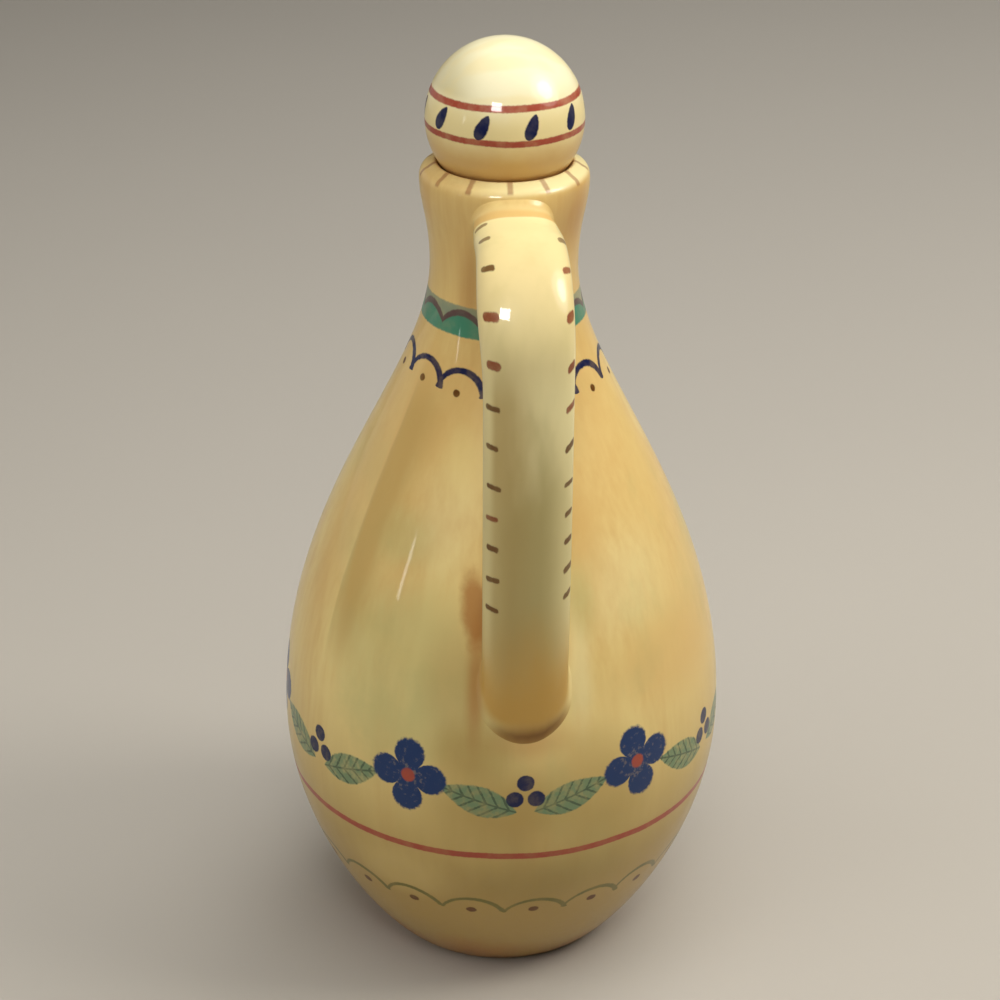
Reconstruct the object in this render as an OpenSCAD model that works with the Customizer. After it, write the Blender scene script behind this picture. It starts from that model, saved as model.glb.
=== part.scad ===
// Vinegar cruet: a pear-shaped glazed ceramic bottle with a strap handle and a ball stopper.
// The axis of the bottle is Z, it stands on Z = 0, and the handle points along -Y. Millimetres.

/* [Bottle outside] */
// Diameter at which the bottle meets the table
foot_d = 48; // [42:0.5:54]
// How far the wall runs outward right at the foot
foot_flare_out = 2.7; // [1.5:0.1:4]
// How far the wall rises over that run
foot_flare_up = 1; // [0.5:0.1:2]
// Largest diameter of the belly
belly_d = 93.6; // [86:0.2:100]
// Height of the largest diameter
belly_h = 53; // [46:0.5:60]
// Length of the curve below the largest diameter
belly_round_low = 28.4; // [20:0.2:36]
// Length of the curve above the largest diameter
belly_round_high = 48; // [36:0.5:56]
// Diameter of the neck at its narrowest
neck_d = 29.8; // [29:0.2:33]
// From the top of the lip down to the narrowest place
neck_drop = 20.3; // [17:0.1:26]
// Length of the curve below the narrowest place
neck_round_low = 25; // [18:0.5:34]
// Length of the curve above the narrowest place
neck_round_high = 9; // [5:0.5:12]
// Outer diameter of the lip
lip_d = 33.8; // [31.5:0.2:37]
// Height of the top of the lip
lip_h = 174.8; // [168:0.2:184]
// Length of the curve under the lip
lip_round = 5; // [2:0.5:8]

/* [Bottle inside] */
// Thickness of the wall
wall = 4; // [3:0.25:5.5]
// Thickness of the floor
floor_t = 4.5; // [3.5:0.25:6]
// Depth of the recess inside the foot ring
foot_recess = 2; // [1:0.25:3]
// Width of the flat foot ring
foot_ring_w = 3.5; // [2.5:0.25:5]
// Diameter of the bore through the neck
bore_d = 23; // [21.5:0.25:24]

/* [Handle] */
// Width of the strap
strap_w = 17.2; // [13:0.2:20]
// Thickness of the strap
strap_t = 8; // [6:0.2:9]
// Width of the strap where it leaves the neck
root_w = 15.4; // [12:0.2:18]
// From the top of the lip down to the middle of the strap at the neck
root_drop = 7; // [5.5:0.1:12]
// From the axis to the middle of the upright run
handle_reach = 44.5; // [41:0.5:50]
// Radius of the corner at the top
handle_corner = 16; // [12:0.5:20]
// Length over which the strap stays upright below the corner
upright_hold = 35; // [25:0.5:40]
// Length over which the strap turns in towards the belly
heel_ease = 22; // [14:0.5:26]
// Height of the tip of the lower end
heel_h = 66.5; // [58:0.5:72]
// Length of the rounded lower end
heel_len = 11; // [8:0.5:14]
// How far the strap stands proud of the belly at the start of its rounded lower end
heel_proud = 2.6; // [1.5:0.1:4]

/* [Stopper] */
// Diameter of the ball
ball_d = 31.4; // [29.5:0.2:34]
// Thickness of the ball's wall
ball_wall = 3.5; // [2.5:0.25:5]
// Diameter of the peg inside its sleeve
peg_d = 17; // [15:0.25:17.5]
// Diameter of the bore up the peg
peg_bore_d = 10; // [7:0.25:11]
// How far the collar and the end flange stand out from the peg
peg_step = 0.9; // [0.5:0.1:1.2]
// Thickness of the end flange
flange_t = 2; // [1.5:0.25:3]
// Clearance between the ball and the lip
seat_gap = 0.3; // [0.2:0.05:0.6]

/* [Sealing sleeve] */
// From the top of the lip down to the top of the sleeve
seal_drop = 5.3; // [4.8:0.1:8]
// Length of the sleeve
seal_h = 14; // [10:0.5:18]
// Thickness of the sleeve between its fins
seal_wall = 1.3; // [0.8:0.1:1.6]
// Number of fins
fin_count = 3; // [2:1:4]
// Thickness of a fin at its edge
fin_edge = 0.8; // [0.5:0.1:1]
// Thickness of a fin where it leaves the sleeve
fin_base = 2.4; // [1.5:0.1:2.4]
// Clearance between the fins and the neck bore
seal_gap = 0.2; // [0.15:0.05:0.4]

/* [Hidden] */
$fn = 96;

glaze_yellow = "#dcc07e";
handle_cream = "#e2d297";
stopper_cream = "#efe2ac";
sleeve_clear = "#cfcabb";

// Radii that several pieces share
foot_r = foot_d / 2;
belly_r = belly_d / 2;
neck_r = neck_d / 2;
lip_r = lip_d / 2;
bore_r = bore_d / 2;
ball_r = ball_d / 2;
peg_r = peg_d / 2;

// The lip is a full round between the bore and its outer diameter
lip_round_r = (lip_r - bore_r) / 2;
lip_mid_r = (lip_r + bore_r) / 2;
lip_mid_h = lip_h - lip_round_r;
neck_h = lip_h - neck_drop;
floor_top = foot_recess + floor_t;

curve_steps = 26;
lip_steps = 10;
// Least step that the inside wall keeps from the floor and from the neck bore
inside_step = 0.5;

// Curves of the outside, each from its lower end to its upper end, as [radius, height]
low_curve = [
    [foot_r, 0],
    [foot_r + foot_flare_out, foot_flare_up],
    [belly_r, belly_h - belly_round_low],
    [belly_r, belly_h]
];
high_curve = [
    [belly_r, belly_h],
    [belly_r, belly_h + belly_round_high],
    [neck_r, neck_h - neck_round_low],
    [neck_r, neck_h]
];
lip_curve = [
    [neck_r, neck_h],
    [neck_r, neck_h + neck_round_high],
    [lip_r, lip_mid_h - lip_round],
    [lip_r, lip_mid_h]
];

// Point of a cubic curve at t from 0 to 1
function curve_point(c, t) =
    pow(1 - t, 3) * c[0] + 3 * pow(1 - t, 2) * t * c[1] + 3 * (1 - t) * t * t * c[2] + pow(t, 3) * c[3];

// Direction of a cubic curve at t, of length 1
function curve_direction(c, t) =
    let (d = pow(1 - t, 2) * (c[1] - c[0]) + 2 * (1 - t) * t * (c[2] - c[1]) + t * t * (c[3] - c[2]))
    d / norm(d);

// Point at a depth under the outside, measured square to the curve
function under_curve(c, t, depth) =
    let (d = curve_direction(c, t))
    curve_point(c, t) + depth * [-d[1], d[0]];

// Points of one curve; the first is left out where the curve before it ends there
function curve_points(c, first = 1) = [for (i = [first : curve_steps]) curve_point(c, i / curve_steps)];

outside = concat(curve_points(low_curve, 0), curve_points(high_curve), curve_points(lip_curve));

// Round of the lip from its outer side over the top to the bore
lip_points = [
    for (i = [1 : lip_steps])
    let (a = 180 * i / lip_steps)
    [lip_mid_r + lip_round_r * cos(a), lip_mid_h + lip_round_r * sin(a)]
];

// Inside of the wall from the floor up to where the neck bore takes over
inside = [
    for (c = [low_curve, high_curve])
    for (i = [1 : curve_steps])
    let (p = under_curve(c, i / curve_steps, wall))
    if (p[1] > floor_top + inside_step && p[0] > bore_r + inside_step) p
];
inside_low = inside[0];
inside_high = inside[len(inside) - 1];
bore_start = [bore_r, inside_high[1] + inside_high[0] - bore_r];

// Radius of the outside at a height
outside_table = [for (p = outside) [p[1], p[0]]];
function outside_r(h) = lookup(h, outside_table);

function reversed(list) = [for (i = [len(list) - 1 : -1 : 0]) list[i]];

// Solid inside the outer surface, up to the start of the lip round
module outside_solid() {
    rotate_extrude() polygon(concat([[0, 0]], outside, [[0, lip_mid_h]]));
}

module bottle_body() {
    ring_in_r = foot_r - foot_ring_w;
    color(glaze_yellow)
    rotate_extrude()
    polygon(concat(
        [[0, foot_recess], [ring_in_r - foot_recess, foot_recess], [ring_in_r, 0]],
        outside,
        lip_points,
        [bore_start],
        reversed(inside),
        [[inside_low[0], floor_top], [0, floor_top]]
    ));
}

// Middle line of the strap in its plane of symmetry, as [distance from the axis, height]
root_h = lip_h - root_drop;
root_at = [outside_r(root_h) - wall, root_h];
corner_mid = [handle_reach - handle_corner, root_h - handle_corner];
heel_mid_h = heel_h + heel_len;
heel_at = [outside_r(heel_mid_h) + heel_proud - strap_t / 2, heel_mid_h];
upright = [
    [handle_reach, corner_mid[1]],
    [handle_reach, corner_mid[1] - upright_hold],
    [handle_reach, heel_mid_h + heel_ease],
    heel_at
];
run_steps = 4;
corner_steps = 10;
upright_steps = 20;
strap_line = concat(
    [for (i = [0 : run_steps - 1]) root_at + (i / run_steps) * ([corner_mid[0], root_h] - root_at)],
    [for (i = [0 : corner_steps])
        let (a = 90 - 90 * i / corner_steps)
        corner_mid + handle_corner * [cos(a), sin(a)]],
    [for (i = [1 : upright_steps]) curve_point(upright, i / upright_steps)]
);

// Rounded lower end: the width follows half an ellipse and the thickness closes late
heel_steps = 7;
heel_last_angle = 87;
function heel_thinning(a) = pow(cos(a), 0.2);

// Width of the strap at a point of its middle line: narrow at the neck, full from the corner on
function strap_width(p) =
    root_w + (strap_w - root_w) * min(1, (p[0] - root_at[0]) / (corner_mid[0] - root_at[0]));

// One ring of the strap: an oval with flattened faces, across X and across the middle line
ring_points = 20;
face_power = 0.75;
function flattened(c) = sign(c) * pow(abs(c), face_power);
function strap_ring(p, across, w, t) = [
    for (i = [0 : ring_points - 1])
    let (
        a = 360 * i / ring_points,
        q = p + (t / 2) * flattened(sin(a)) * across
    )
    [(w / 2) * flattened(cos(a)), -q[0], q[1]]
];

// Direction square to the middle line at station i, towards the outer face
function across_line(i) =
    let (
        a = strap_line[max(i - 1, 0)],
        b = strap_line[min(i + 1, len(strap_line) - 1)],
        d = (b - a) / norm(b - a)
    )
    [-d[1], d[0]];

module strap_handle() {
    last = len(strap_line) - 1;
    down = strap_line[last] - strap_line[last - 1];
    along = down / norm(down);
    rings = concat(
        [for (i = [0 : last]) strap_ring(strap_line[i], across_line(i), strap_width(strap_line[i]), strap_t)],
        [for (i = [1 : heel_steps])
            let (a = heel_last_angle * i / heel_steps, p = strap_line[last] + heel_len * sin(a) * along)
            strap_ring(p, across_line(last), strap_w * cos(a), strap_t * heel_thinning(a))]
    );
    count = len(rings);
    color(handle_cream)
    difference() {
        polyhedron(
            points = [for (ring = rings) each ring],
            faces = concat(
                [[for (k = [0 : ring_points - 1]) k]],
                [for (i = [0 : count - 2]) for (k = [0 : ring_points - 1])
                    let (n = (k + 1) % ring_points, a = i * ring_points, b = a + ring_points)
                    each [[a + k, b + k, b + n], [a + k, b + n, a + n]]],
                [[for (k = [ring_points - 1 : -1 : 0]) (count - 1) * ring_points + k]]
            )
        );
        outside_solid();
    }
}

// The ball rests over the lip at the seat clearance
ball_h = lip_mid_h + sqrt(pow(ball_r + lip_round_r + seat_gap, 2) - pow(lip_mid_r, 2));
seal_top = lip_h - seal_drop;
seal_bottom = seal_top - seal_h;
peg_end = seal_bottom - flange_t;

module stopper_knob() {
    color(stopper_cream)
    difference() {
        union() {
            translate([0, 0, ball_h]) sphere(r = ball_r);
            translate([0, 0, peg_end]) cylinder(r = peg_r, h = ball_h - peg_end);
            translate([0, 0, peg_end]) cylinder(r = peg_r + peg_step, h = flange_t);
            translate([0, 0, seal_top]) cylinder(r = peg_r + peg_step, h = ball_h - seal_top);
        }
        translate([0, 0, ball_h]) sphere(r = ball_r - ball_wall);
        translate([0, 0, peg_end - 1]) cylinder(d = peg_bore_d, h = ball_h - peg_end + 1);
    }
}

module stopper_seal() {
    sleeve_r = peg_r + seal_wall;
    fin_r = bore_r - seal_gap;
    fin_pitch = seal_h / fin_count;
    color(sleeve_clear)
    rotate_extrude()
    polygon(concat(
        [[peg_r, seal_bottom], [sleeve_r, seal_bottom]],
        [for (i = [0 : fin_count - 1])
            let (mid = seal_bottom + (i + 0.5) * fin_pitch)
            each [
                [sleeve_r, mid - fin_base / 2],
                [fin_r, mid - fin_edge / 2],
                [fin_r, mid + fin_edge / 2],
                [sleeve_r, mid + fin_base / 2]
            ]],
        [[sleeve_r, seal_top], [peg_r, seal_top]]
    ));
}

bottle_body();
strap_handle();
stopper_knob();
stopper_seal();
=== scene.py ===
"""Vinegar cruet: a glazed, hand-painted bottle with a strap handle and a ball stopper.

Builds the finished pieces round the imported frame. Lengths are metres in the frame and in the node trees;
the painted decoration is laid out in millimetres, as a decorator would mark it on the pot.
"""
import math
from types import SimpleNamespace

import bpy
from bpy.props import FloatProperty, FloatVectorProperty, IntProperty, PointerProperty
from mathutils import Matrix, Quaternion, Vector


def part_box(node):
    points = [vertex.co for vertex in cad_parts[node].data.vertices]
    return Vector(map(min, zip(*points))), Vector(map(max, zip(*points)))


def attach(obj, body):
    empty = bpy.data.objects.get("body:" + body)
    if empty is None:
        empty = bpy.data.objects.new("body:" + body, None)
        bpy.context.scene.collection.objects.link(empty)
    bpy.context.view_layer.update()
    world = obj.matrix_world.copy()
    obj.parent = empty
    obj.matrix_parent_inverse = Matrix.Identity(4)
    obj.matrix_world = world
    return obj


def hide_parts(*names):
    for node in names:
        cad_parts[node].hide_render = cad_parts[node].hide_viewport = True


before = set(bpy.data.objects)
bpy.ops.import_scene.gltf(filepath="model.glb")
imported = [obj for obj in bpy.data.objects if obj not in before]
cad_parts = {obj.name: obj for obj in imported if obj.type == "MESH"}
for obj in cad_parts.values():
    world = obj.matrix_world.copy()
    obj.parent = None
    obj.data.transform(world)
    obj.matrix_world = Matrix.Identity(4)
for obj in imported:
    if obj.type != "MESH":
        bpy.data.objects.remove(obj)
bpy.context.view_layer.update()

bl_info = {
    "name": "Vinegar cruet",
    "version": (1, 0, 0),
    "blender": (4, 5, 0),
    "location": "3D View > Sidebar > Cruet",
    "description": "Builds a glazed, hand-painted cruet with a strap handle and a ball stopper",
    "category": "Add Mesh",
}

# A millimetre in metres, and millimetres in a metre
MM = 0.001
PER_METRE = 1000
BOTTLE_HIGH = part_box("bottle_body")[1]
HANDLE_LOW, HANDLE_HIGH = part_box("strap_handle")
KNOB_LOW, KNOB_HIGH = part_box("stopper_knob")
SEAL_LOW, SEAL_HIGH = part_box("stopper_seal")


# Settings that a user would change

def length(name, description, millimetres):
    """A length property, given in millimetres."""
    return FloatProperty(
        name=name, description=description, default=millimetres * MM, precision=5, unit="LENGTH"
    )


def angle(name, description, degrees):
    """An angle property, given in degrees."""
    return FloatProperty(name=name, description=description, default=math.radians(degrees), subtype="ANGLE")


def tally(name, description, number, lowest):
    """A whole-number property."""
    return IntProperty(name=name, description=description, default=number, min=lowest)


def linear(code):
    """Linear colour of a colour code such as #e8cf8f."""
    parts = [int(code[i:i + 2], 16) / 255 for i in (1, 3, 5)]
    return tuple(p / 12.92 if p <= 0.04045 else ((p + 0.055) / 1.055) ** 2.4 for p in parts)


def colour(name, description, code):
    """A colour property, given as a colour code."""
    return FloatVectorProperty(
        name=name, description=description, default=linear(code), size=3, min=0, max=1, subtype="COLOR"
    )


class CruetBottleSizes(bpy.types.PropertyGroup):
    """Sizes of the bottle."""
    foot_radius: length("Foot radius", "Radius at which the bottle meets the table", 24)
    flare_out: length("Flare out", "How far the wall runs outward right at the foot", 2.7)
    flare_up: length("Flare up", "How far the wall rises over that run", 1)
    belly_radius: length("Belly radius", "Largest radius of the belly", BOTTLE_HIGH[0] / MM)
    belly_height: length("Belly height", "Height of the largest radius", 53)
    belly_low: length("Belly curve below", "Length of the curve below the largest radius", 28.4)
    belly_high: length("Belly curve above", "Length of the curve above the largest radius", 48)
    neck_radius: length("Neck radius", "Radius of the neck at its narrowest", 14.9)
    neck_height: length("Neck height", "Height of the narrowest place", BOTTLE_HIGH[2] / MM - 20.3)
    neck_low: length("Neck curve below", "Length of the curve below the narrowest place", 25)
    neck_high: length("Neck curve above", "Length of the curve above the narrowest place", 9)
    lip_radius: length("Lip radius", "Outer radius of the lip", 16.9)
    lip_side: length("Lip side", "Height where the lip's side starts to round", BOTTLE_HIGH[2] / MM - 2.7)
    lip_low: length("Lip curve", "Length of the curve under the lip", 5)
    lip_edge: length("Lip edge", "How far the rounded outer edge of the lip reaches in", 1.3)
    lip_height: length("Lip height", "Height of the top of the lip", BOTTLE_HIGH[2] / MM + 0.8)
    lip_fall: length("Lip fall", "How far the top of the lip falls towards its outer edge", 1)
    lip_seat: length("Lip seat", "Radius at which the top of the lip is highest", 13.8)
    bore_radius: length("Bore radius", "Radius of the bore through the neck", 11.5)
    wall: length("Wall", "Thickness of the wall", 4)
    floor_top: length("Floor", "Height of the inside floor", 6.5)
    recess: length("Foot recess", "Depth of the recess inside the foot ring", 2)
    ring_width: length("Foot ring", "Width of the flat foot ring", 3.5)
    segments: tally("Segments", "Segments round the axis", 192, 24)


class CruetHandleSizes(bpy.types.PropertyGroup):
    """Sizes of the strap handle."""
    strap_width: length("Strap width", "Width of the strap", (HANDLE_HIGH[0] - HANDLE_LOW[0]) / MM)
    strap_thickness: length("Strap thickness", "Thickness of the strap", 8)
    root_width: length("Root width", "Width of the strap where it leaves the neck", 15.4)
    root_height: length("Root height", "Height of the middle of the strap at the neck", 167.8)
    reach: length("Reach", "From the axis to the middle of the upright run", -HANDLE_LOW[1] / MM - 4)
    corner: length("Corner", "Radius of the corner at the top", 16)
    hold: length("Upright run", "Length over which the strap stays upright", 35)
    ease: length("Heel ease", "Length over which the strap turns in towards the belly", 22)
    heel_height: length("Heel height", "Height at which the rounded lower end starts", 77.5)
    heel_depth: length("Heel depth", "From the belly in to the middle of the strap at that height", 1.4)
    heel_length: length("Heel length", "Length of the rounded lower end", 11)
    root_fillet: length("Root fillet", "Fillet at the sides of the strap where it joins the neck", 0.8)
    top_fillet: length("Top fillet", "Fillet above the strap where it joins the neck", 2.4)
    crotch_fillet: length("Crotch fillet", "Fillet below the strap where it joins the neck", 5)
    heel_fillet: length("Heel fillet", "Fillet where the strap joins the belly", 1.6)
    lap: length("Lap", "How deep the strap is let into the wall", 1.4)
    lead: length("Lead", "How far the strap's path starts before its sides reach the neck", 3)
    stations: tally("Stations", "Rings along the strap", 360, 24)
    ring_points: tally("Ring points", "Points round the strap", 96, 12)


class CruetStopperSizes(bpy.types.PropertyGroup):
    """Sizes of the ball stopper."""
    ball_radius: length("Ball radius", "Radius of the ball", KNOB_HIGH[0] / MM)
    ball_top: length("Ball top", "Height of the top of the ball", KNOB_HIGH[2] / MM)
    ball_wall: length("Ball wall", "Thickness of the ball's wall", 3.5)
    peg_radius: length("Peg radius", "Radius of the peg inside its sleeve", 8.5)
    peg_bore: length("Peg bore", "Radius of the bore up the peg", 5)
    peg_step: length("Peg step", "How far the collar and the end flange stand out", 0.9)
    peg_end: length("Peg end", "Height of the lower end of the peg", KNOB_LOW[2] / MM)
    flange: length("Flange", "Thickness of the end flange", 2)
    sleeve_low: length("Sleeve low", "Height of the lower end of the sleeve", SEAL_LOW[2] / MM)
    sleeve_high: length("Sleeve high", "Height of the upper end of the sleeve", SEAL_HIGH[2] / MM)
    sleeve_wall: length("Sleeve wall", "Thickness of the sleeve between its fins", 1.3)
    fin_radius: length("Fin radius", "Radius of the fins", SEAL_HIGH[0] / MM)
    fin_edge: length("Fin edge", "Thickness of a fin at its edge", 0.8)
    fin_base: length("Fin base", "Thickness of a fin where it leaves the sleeve", 2.4)
    segments: tally("Segments", "Segments round the axis", 128, 24)


class CruetColours(bpy.types.PropertyGroup):
    """Colours of the glazes and of the painted decoration."""
    pale: colour("Pale glaze", "Thin cream-yellow glaze", "#efd68c")
    ochre: colour("Ochre glaze", "Warm wash on the neck and the shoulder", "#ddb56e")
    # A darker glaze, laid also as painted shade on the lower belly, below the strap's lower end and down the
    # strap's left half
    deep: colour("Deep glaze", "Thicker glaze on the lower belly", "#b2934f")
    # Amber glaze, laid also as painted shade in the crotch and crease by the strap, under its tip, round the
    # foot of the ball and in its seat
    amber: colour("Amber glaze", "Where the glaze pools", "#b0702f")
    wash: colour("Green wash", "Thin greenish wash", "#bfb877")
    # Also laid on the lip as painted light and beside the strap as a painted reflection
    cream: colour("Handle cream", "Cream of the strap and the ball", "#f3e4a8")
    ivory: colour("Ball ivory", "Top of the ball", "#f6ecc2")
    khaki: colour("Khaki", "Wash down the strap", "#b3a267")
    gold: colour("Gold", "Lower end of the strap", "#ca9c46")
    brick: colour("Brick red", "Painted lines and the hearts of the flowers", "#a84a34")
    russet: colour("Russet", "Ticks on the lip and the upper strap", "#8a3c1c")
    # Painted shade in the crease round the strap's lower end
    toffee: colour("Toffee", "Crease round the lower end of the strap", "#6a3c04")
    bark: colour("Bark", "Ticks on the lower strap, and dots", "#643a08")
    navy: colour("Navy", "Scallops, slanted dashes and berries", "#0b1644")
    blue: colour("Blue", "Painted flowers", "#0f3161")
    leaf: colour("Leaf green", "Painted leaves", "#6f8a64")
    moss: colour("Moss green", "Strokes in the leaves", "#3c4a38")
    olive: colour("Olive", "Scallops near the foot", "#746c30")
    teal: colour("Teal", "Neck band below its wave", "#4a8a6c")
    sage: colour("Sage", "Neck band above its wave", "#7d8f78")
    umber: colour("Umber", "Wavy line in the neck band", "#644a48")
    bisque: colour("Bisque", "Bare fired clay", "#d8c1a0")
    sleeve: colour("Sleeve", "Soft translucent sleeve", "#d6d1c0")


class CruetBands(bpy.types.PropertyGroup):
    """Places of the painted bands, as heights above the table, and how often each motif repeats."""
    foot_scallops: tally("Foot scallops", "Scallops near the foot", 20, 4)
    foot_scallop_height: length("Foot scallop height", "Height of their lower ends", 24.2)
    line_height: length("Line height", "Height of the brick-red line", 42)
    flowers: tally("Flowers", "Flowers round the belly", 6, 2)
    flower_height: length("Flower height", "Height of the middle of the flowers", 60)
    neck_scallops: tally("Neck scallops", "Scallops below the neck", 13, 4)
    neck_scallop_height: length("Neck scallop height", "Height of their lower ends", 133.2)
    band_low: length("Band low", "Lower edge of the green band", 143.7)
    band_high: length("Band high", "Upper edge of the green band", 149.5)
    waves: tally("Waves", "Waves of the line in the green band", 11, 3)
    lip_ticks: tally("Lip ticks", "Ticks across the lip", 13, 4)
    ball_line_low: length("Ball line low", "Height of the lower line on the ball", 183.85)
    ball_line_high: length("Ball line high", "Height of the upper line on the ball", 190.25)
    ball_dashes: tally("Ball dashes", "Slanted dashes round the ball", 10, 3)


class CruetStageSettings(bpy.types.PropertyGroup):
    """Camera, floor and lights."""
    camera_distance: length("Camera distance", "From the axis to the camera, level", 471.5)
    camera_height: length("Camera height", "Height of the camera above the table", 338.6)
    camera_turn: angle("Camera turn", "Angle of the camera from the handle", -6.2)
    camera_tilt: angle("Camera tilt", "How far the camera looks down", 26.8)
    camera_roll: angle("Camera roll", "Lean of the object to the right", 0.35)
    camera_aside: angle("Camera aside", "Aim to the left of the axis", 0.057)
    lens: FloatProperty(
        name="Lens", description="Focal length on a 36 mm sensor", default=90.5, unit="CAMERA"
    )
    floor: colour("Floor", "Colour of the floor", "#bdb6aa")


class CruetSettings(bpy.types.PropertyGroup):
    """All settings of the cruet."""
    bottle: PointerProperty(type=CruetBottleSizes)
    handle: PointerProperty(type=CruetHandleSizes)
    stopper: PointerProperty(type=CruetStopperSizes)
    colours: PointerProperty(type=CruetColours)
    bands: PointerProperty(type=CruetBands)
    stage: PointerProperty(type=CruetStageSettings)


# Values that vary over a piece, in shader and geometry trees alike

class Field:
    """One output of a node tree. Arithmetic on it adds Math nodes."""

    def __init__(self, socket):
        self.socket = socket
        self.tree = socket.id_data

    def __add__(self, other):
        return operate("ADD", self, other)

    def __radd__(self, other):
        return operate("ADD", other, self)

    def __sub__(self, other):
        return operate("SUBTRACT", self, other)

    def __rsub__(self, other):
        return operate("SUBTRACT", other, self)

    def __mul__(self, other):
        return operate("MULTIPLY", self, other)

    def __rmul__(self, other):
        return operate("MULTIPLY", other, self)

    def __truediv__(self, other):
        return operate("DIVIDE", self, other)

    def __rtruediv__(self, other):
        return operate("DIVIDE", other, self)

    def __neg__(self):
        return operate("MULTIPLY", self, -1)

    def __abs__(self):
        return operate("ABSOLUTE", self)


def put(socket, value):
    """Links a field to an input, or sets the input to a constant."""
    if isinstance(value, Field):
        socket.id_data.links.new(value.socket, socket)
    else:
        socket.default_value = value


def add_node(tree, kind, inputs=(), **settings):
    """Adds a node, sets its options and fills its inputs by name."""
    node = tree.nodes.new(kind)
    for name, value in settings.items():
        setattr(node, name, value)
    for name, value in dict(inputs).items():
        put(node.inputs[name], value)
    return node


def operate(operation, *values):
    """One Math node."""
    tree = next(v.tree for v in values if isinstance(v, Field))
    node = add_node(tree, "ShaderNodeMath", operation=operation)
    for socket, value in zip(node.inputs, values):
        put(socket, value)
    return Field(node.outputs[0])


def vector_operate(operation, *values, output="Vector"):
    """One Vector Math node."""
    tree = next(v.tree for v in values if isinstance(v, Field))
    node = add_node(tree, "ShaderNodeVectorMath", operation=operation)
    for socket, value in zip(node.inputs, values):
        put(socket, value)
    return Field(node.outputs[output])


def scaled(vector, factor):
    """A vector times a number."""
    inputs = {"Vector": vector, "Scale": factor}
    return Field(add_node(vector.tree, "ShaderNodeVectorMath", inputs, operation="SCALE").outputs["Vector"])


def vector_sum(*vectors):
    """Sum of vectors."""
    total = vectors[0]
    for vector in vectors[1:]:
        total = vector_operate("ADD", total, vector)
    return total


def joined(tree, x, y, z):
    """A vector from three numbers."""
    return Field(add_node(tree, "ShaderNodeCombineXYZ", {"X": x, "Y": y, "Z": z}).outputs[0])


def split(vector):
    """The three numbers of a vector."""
    return [Field(s) for s in add_node(vector.tree, "ShaderNodeSeparateXYZ", {"Vector": vector}).outputs]


def least(a, b):
    """The smaller of two values."""
    return operate("MINIMUM", a, b)


def most(a, b):
    """The larger of two values."""
    return operate("MAXIMUM", a, b)


def root(value):
    """Square root, 0 for values below 0."""
    return operate("SQRT", most(value, 0))


def power(value, exponent):
    """A value to a power."""
    return operate("POWER", value, exponent)


def squared(value):
    """A value times itself."""
    return value * value


def ramp(value, low, high):
    """0 up to low, 1 from high on, smooth between them."""
    node = add_node(
        value.tree, "ShaderNodeMapRange", {"Value": value, "From Min": low, "From Max": high},
        interpolation_type="SMOOTHSTEP"
    )
    return Field(node.outputs["Result"])


def near(distance, reach, softness):
    """1 within reach, 0 beyond it, with a soft edge."""
    return 1 - ramp(distance, reach - softness, reach + softness)


# Geometry Nodes: pieces turned round the axis

SOCKET_KINDS = {"FLOAT": "NodeSocketFloat", "INT": "NodeSocketInt"}
MERGE_DISTANCE = 2e-6


def sizes_in(settings):
    """The properties of a group of settings that are sizes or whole numbers."""
    return [p for p in settings.bl_rna.properties if p.type in SOCKET_KINDS]


def new_tree(name, settings, objects=()):
    """A Geometry Nodes tree with a named input for each size in a group of settings and for each object.

    Returns the tree, the sizes as fields, and the geometry of each object.
    """
    tree = bpy.data.node_groups.new(name, "GeometryNodeTree")
    tree.interface.new_socket("Geometry", in_out="OUTPUT", socket_type="NodeSocketGeometry")
    for p in sizes_in(settings):
        socket = tree.interface.new_socket(p.name, in_out="INPUT", socket_type=SOCKET_KINDS[p.type])
        socket.default_value = getattr(settings, p.identifier)
    for title in objects:
        tree.interface.new_socket(title, in_out="INPUT", socket_type="NodeSocketObject")
    given = {socket.name: Field(socket) for socket in tree.nodes.new("NodeGroupInput").outputs if socket.name}
    sizes = SimpleNamespace(**{p.identifier: given[p.name] for p in sizes_in(settings)})
    shapes = [add_node(tree, "GeometryNodeObjectInfo", {"Object": given[title]}) for title in objects]
    return tree, sizes, *(Field(shape.outputs["Geometry"]) for shape in shapes)


def end_tree(tree, geometry, finish):
    """Closes a tree: merged, smooth, realized and with its material."""
    steps = (
        ("GeometryNodeMergeByDistance", {"Distance": MERGE_DISTANCE}),
        ("GeometryNodeSetShadeSmooth", {}),
        ("GeometryNodeRealizeInstances", {}),
        ("GeometryNodeSetMaterial", {"Material": finish}),
    )
    for kind, inputs in steps:
        geometry = Field(add_node(tree, kind, {"Geometry": geometry, **inputs}).outputs[0])
    put(tree.nodes.new("NodeGroupOutput").inputs["Geometry"], geometry)


def made_piece(name, tree, settings, objects=()):
    """Runs a tree with the given sizes and returns its result as a plain mesh object at the origin."""
    piece = bpy.data.objects.new(name, bpy.data.meshes.new(name))
    bpy.context.scene.collection.objects.link(piece)
    modifier = piece.modifiers.new("Shape", "NODES")
    modifier.node_group = tree
    values = {p.name: getattr(settings, p.identifier) for p in sizes_in(settings)}
    values.update(objects)
    for socket in tree.interface.items_tree:
        if socket.in_out == "INPUT":
            modifier[socket.identifier] = values[socket.name]
    graph = bpy.context.evaluated_depsgraph_get()
    mesh = bpy.data.meshes.new_from_object(piece.evaluated_get(graph), depsgraph=graph)
    piece.modifiers.remove(modifier)
    piece.data = mesh
    mesh.name = name
    if not mesh.polygons:
        raise RuntimeError(f"{name}: the tree gave no faces")
    return piece


# Profiles are turned on a circle of this radius
TURNING_RADIUS = 0.1
# Length of the handles of a quarter round, as a share of its radius
QUARTER_ROUND = 0.5523


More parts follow.
